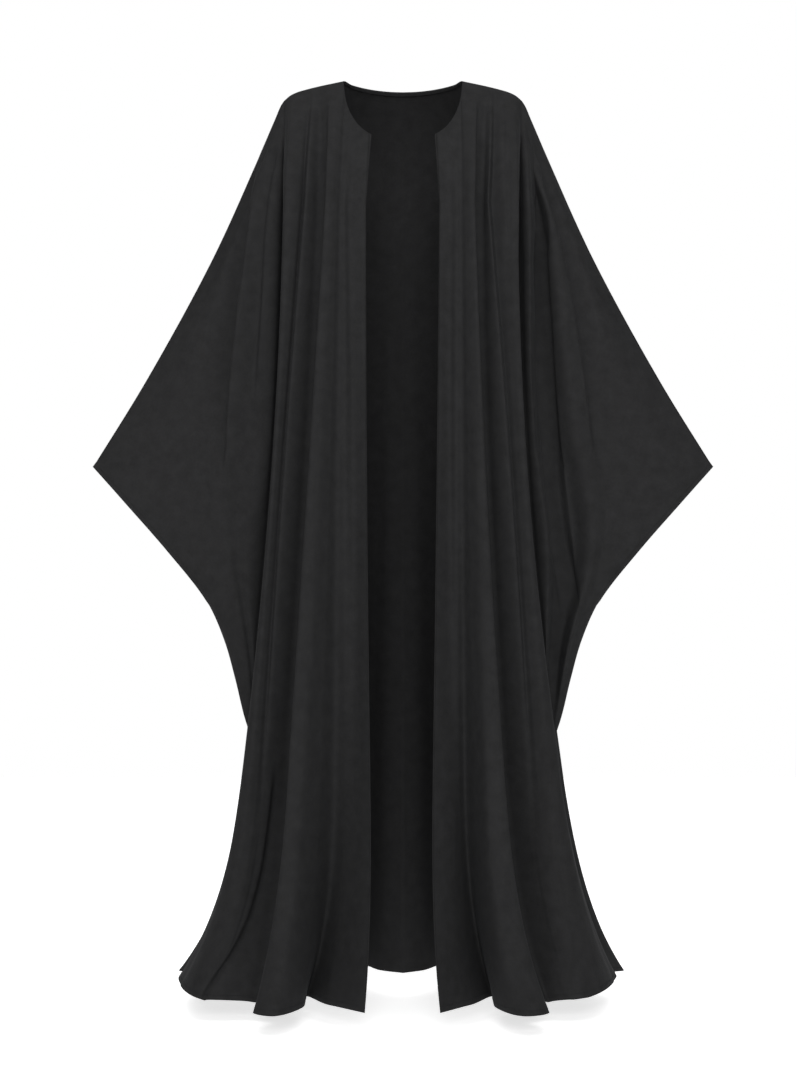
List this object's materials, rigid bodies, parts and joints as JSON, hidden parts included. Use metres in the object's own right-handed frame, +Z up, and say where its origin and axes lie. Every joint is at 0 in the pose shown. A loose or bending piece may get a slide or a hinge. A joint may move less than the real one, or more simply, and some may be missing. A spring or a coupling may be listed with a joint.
{
  "type": "open-front abaya",
  "caption": "Full-length open-front abaya without a collar, with wide batwing sleeves cut in one with the body, hanging in deep soft folds as if worn.",
  "frame": {"origin": "midway between the two neck points of the shoulders, level with them, where the wearer's shoulders hold it", "axes": "+Z up, the front faces -Y, +X to the wearer's left"},
  "size_m": [0.972, 0.492, 1.4278],
  "materials": {
    "crepe": "matte near-black crepe with a faint sheen along the folds",
    "binding": "matte near-black bias binding"
  },
  "bodies": {
    "root": {"front_right": "crepe", "front_left": "crepe", "back": "crepe", "back_neck_binding": "binding"}
  },
  "joints": []
}
